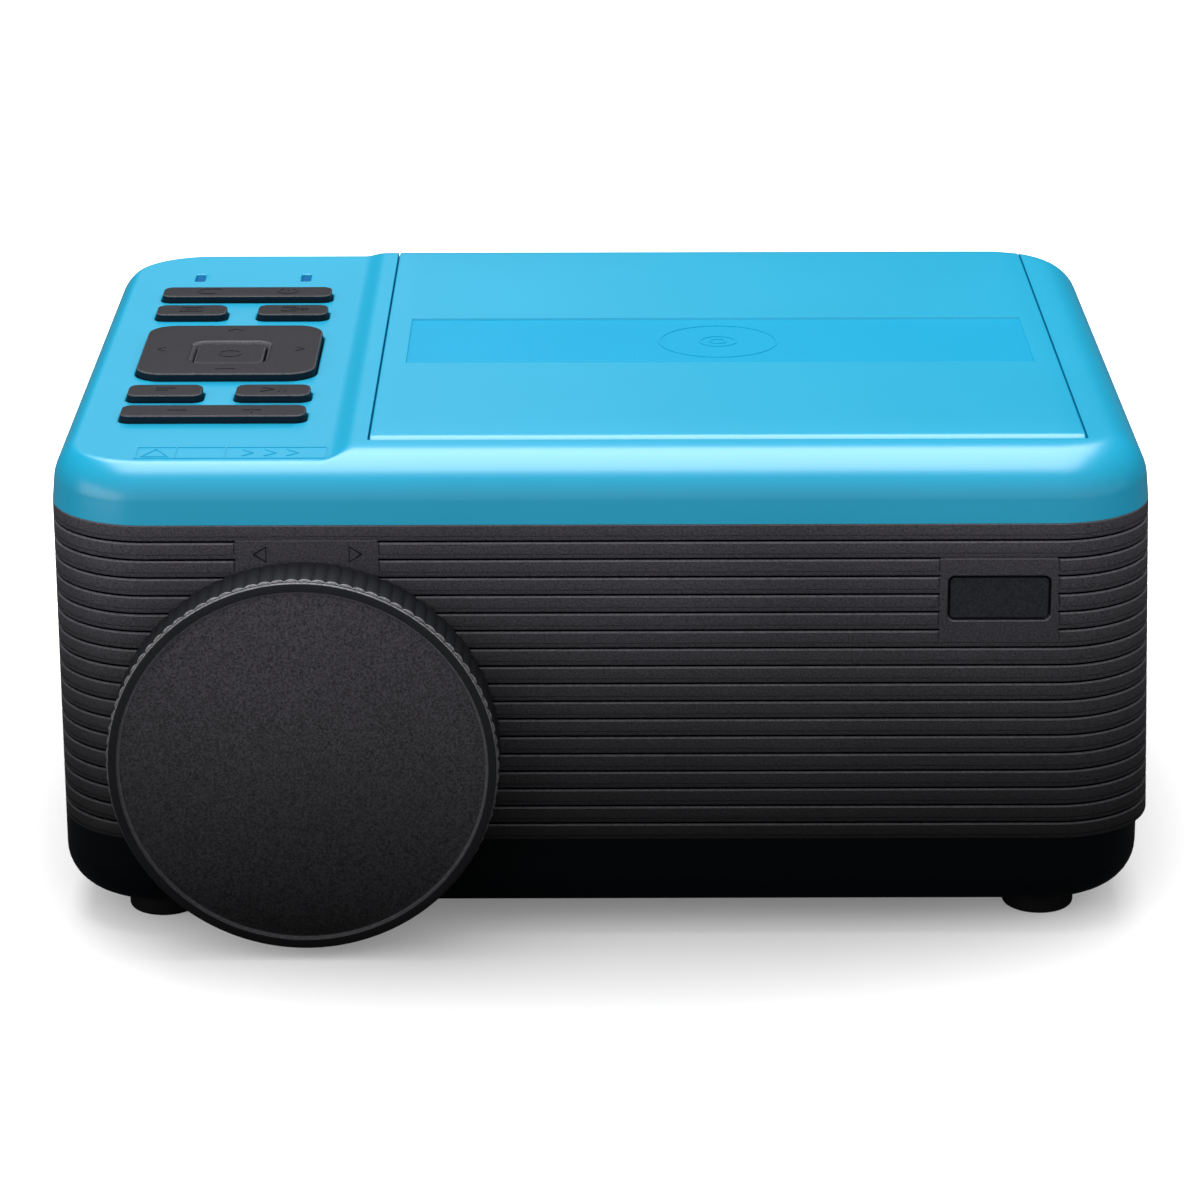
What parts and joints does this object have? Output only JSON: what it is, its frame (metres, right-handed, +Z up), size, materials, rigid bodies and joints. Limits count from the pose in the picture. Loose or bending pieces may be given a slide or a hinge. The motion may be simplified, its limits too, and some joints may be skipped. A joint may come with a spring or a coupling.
{
  "type": "disc projector",
  "caption": "Compact desktop projector with a hinged disc lid over a turntable, a ribbed case, a key panel and a knurled focus ring with a removable lens cap.",
  "frame": {"origin": "on the table under the middle of the outline, lens cap included", "axes": "+X to the right seen from the lens side, the lens looks along -Y, +Z up"},
  "size_m": [0.225, 0.1896, 0.1018],
  "materials": {
    "cover_blue": "satin",
    "shell_grey": "satin",
    "tub_black": "satin",
    "foot_rubber": "matt",
    "steel": "satin",
    "brass": "satin",
    "window_dark": "gloss",
    "deck_grey": "matt",
    "key_grey": "satin",
    "ring_dark": "satin",
    "tube_black": "matt",
    "glass": "polished",
    "light_guide": "gloss",
    "panel_glass": "gloss",
    "aluminium": "satin",
    "board_green": "satin",
    "parts_black": "satin",
    "socket_metal": "satin"
  },
  "bodies": {
    "case": {"top_cover": "cover_blue", "ribbed_band": "shell_grey", "bottom_tub": "tub_black", "rubber_feet": "foot_rubber", "case_screws": "steel", "tripod_bush": "brass", "receiver_window": "window_dark", "receiver_sensor": "window_dark", "left_grille": "shell_grey", "right_grille": "shell_grey", "disc_deck": "deck_grey", "catch_sleeve": "deck_grey", "drive_chassis": "steel", "drive_dampers": "foot_rubber", "spindle_motor": "steel", "guide_rods": "steel", "sled_motor": "steel", "key_board": "board_green", "key_mat": "foot_rubber", "indicator_lights": "light_guide", "lens_guide_tube": "tube_black", "engine_housing": "tube_black", "screen_panel": "panel_glass", "condenser_plates": "panel_glass", "condenser_lens": "glass", "lamp_plate": "aluminium", "heat_sink": "aluminium", "fan_frame": "tube_black", "main_board": "board_green", "power_board": "board_green", "board_parts": "parts_black", "socket_plate": "tub_black", "picture_socket": "socket_metal", "data_socket": "socket_metal", "sound_jacks": "parts_black", "power_inlet": "parts_black", "loudspeaker": "tube_black"},
    "lid": {"disc_lid": "cover_blue", "hinge_pins": "steel", "lid_liner": "deck_grey"},
    "catch": {"catch_plunger": "deck_grey"},
    "spinner": {"turntable": "deck_grey"},
    "sled": {"pickup_sled": "deck_grey", "pickup_lens": "glass"},
    "screw": {"lead_screw": "steel"},
    "front_left": {"front_left_key": "key_grey"},
    "front_right": {"front_right_key": "key_grey"},
    "rear_left": {"rear_left_key": "key_grey"},
    "rear_right": {"rear_right_key": "key_grey"},
    "front_bar": {"front_bar_key": "key_grey"},
    "rear_bar": {"rear_bar_key": "key_grey"},
    "nav_ring": {"nav_gimbal": "deck_grey"},
    "nav": {"nav_pad": "key_grey"},
    "centre": {"centre_key": "key_grey"},
    "focus": {"focus_ring": "ring_dark"},
    "lens": {"lens_barrel": "tube_black", "front_lens": "glass", "rear_lens": "glass"},
    "cap": {"lens_cap": "ring_dark"},
    "rotor": {"fan_rotor": "tube_black"}
  },
  "joints": [
    {"name": "lid_hinge", "type": "hinge", "parent": "case", "child": "lid", "pos_m": [0.0257, -0.06275, 0.0986], "axis": [1, 0, 0], "range_deg": [0, 75]},
    {"name": "catch_push", "type": "slide", "parent": "case", "child": "catch", "axis": [0, 0, -1], "range_m": [0, 0.0012], "stiffness_N_per_m": 300, "springref_m": -0.001},
    {"name": "turntable_spin", "type": "hinge", "parent": "case", "child": "spinner", "pos_m": [0.0257, 0.01175, 0.0922], "axis": [0, 0, 1], "continuous": true},
    {"name": "sled_slide", "type": "slide", "parent": "case", "child": "sled", "axis": [0, -1, 0], "range_m": [0, 0.034]},
    {"name": "lead_screw_turn", "type": "hinge", "parent": "case", "child": "screw", "pos_m": [-0.0078, 0.01175, 0.0846], "axis": [0, 1, 0], "range_deg": [0, 4320]},
    {"name": "front_left_press", "type": "slide", "parent": "case", "child": "front_left", "axis": [0, 0, -1], "range_m": [0, 0.0006], "stiffness_N_per_m": 400, "springref_m": -0.001},
    {"name": "front_right_press", "type": "slide", "parent": "case", "child": "front_right", "axis": [0, 0, -1], "range_m": [0, 0.0006], "stiffness_N_per_m": 400, "springref_m": -0.001},
    {"name": "rear_left_press", "type": "slide", "parent": "case", "child": "rear_left", "axis": [0, 0, -1], "range_m": [0, 0.0006], "stiffness_N_per_m": 400, "springref_m": -0.001},
    {"name": "rear_right_press", "type": "slide", "parent": "case", "child": "rear_right", "axis": [0, 0, -1], "range_m": [0, 0.0006], "stiffness_N_per_m": 400, "springref_m": -0.001},
    {"name": "centre_press", "type": "slide", "parent": "case", "child": "centre", "axis": [0, 0, -1], "range_m": [0, 0.0006], "stiffness_N_per_m": 400, "springref_m": -0.001},
    {"name": "front_bar_rock", "type": "hinge", "parent": "case", "child": "front_bar", "pos_m": [-0.0799, -0.04405, 0.0948], "axis": [0, 1, 0], "range_deg": [-1.2, 1.2], "stiffness_Nm_per_rad": 1.5},
    {"name": "rear_bar_rock", "type": "hinge", "parent": "case", "child": "rear_bar", "pos_m": [-0.0799, 0.05175, 0.0948], "axis": [0, 1, 0], "range_deg": [-1.2, 1.2], "stiffness_Nm_per_rad": 1.5},
    {"name": "nav_ring_tilt", "type": "hinge", "parent": "case", "child": "nav_ring", "pos_m": [-0.0799, 0.00285, 0.0948], "axis": [1, 0, 0], "range_deg": [-0.75, 0.75], "stiffness_Nm_per_rad": 1.5},
    {"name": "nav_tilt", "type": "hinge", "parent": "nav_ring", "child": "nav", "pos_m": [-0.0799, 0.00285, 0.0948], "axis": [0, 1, 0], "range_deg": [-0.75, 0.75], "stiffness_Nm_per_rad": 1.5},
    {"name": "focus_turn", "type": "hinge", "parent": "case", "child": "focus", "pos_m": [-0.0598, -0.08205, 0.0418], "axis": [0, 1, 0], "range_deg": [-120, 120]},
    {"name": "lens_slide", "type": "slide", "parent": "case", "child": "lens", "axis": [0, -1, 0], "range_m": [-0.003, 0.003]},
    {"name": "cap_pull", "type": "slide", "parent": "case", "child": "cap", "axis": [0, -1, 0], "range_m": [0, 0.02]},
    {"name": "fan_spin", "type": "hinge", "parent": "case", "child": "rotor", "pos_m": [-0.1012, 0.02275, 0.046], "axis": [1, 0, 0], "continuous": true}
  ],
  "couplings": [
    {"joint": "lens_slide", "follows": "focus_turn", "m_per_rad": 0.001432},
    {"joint": "lead_screw_turn", "follows": "sled_slide", "rad_per_m": 2094.4}
  ]
}
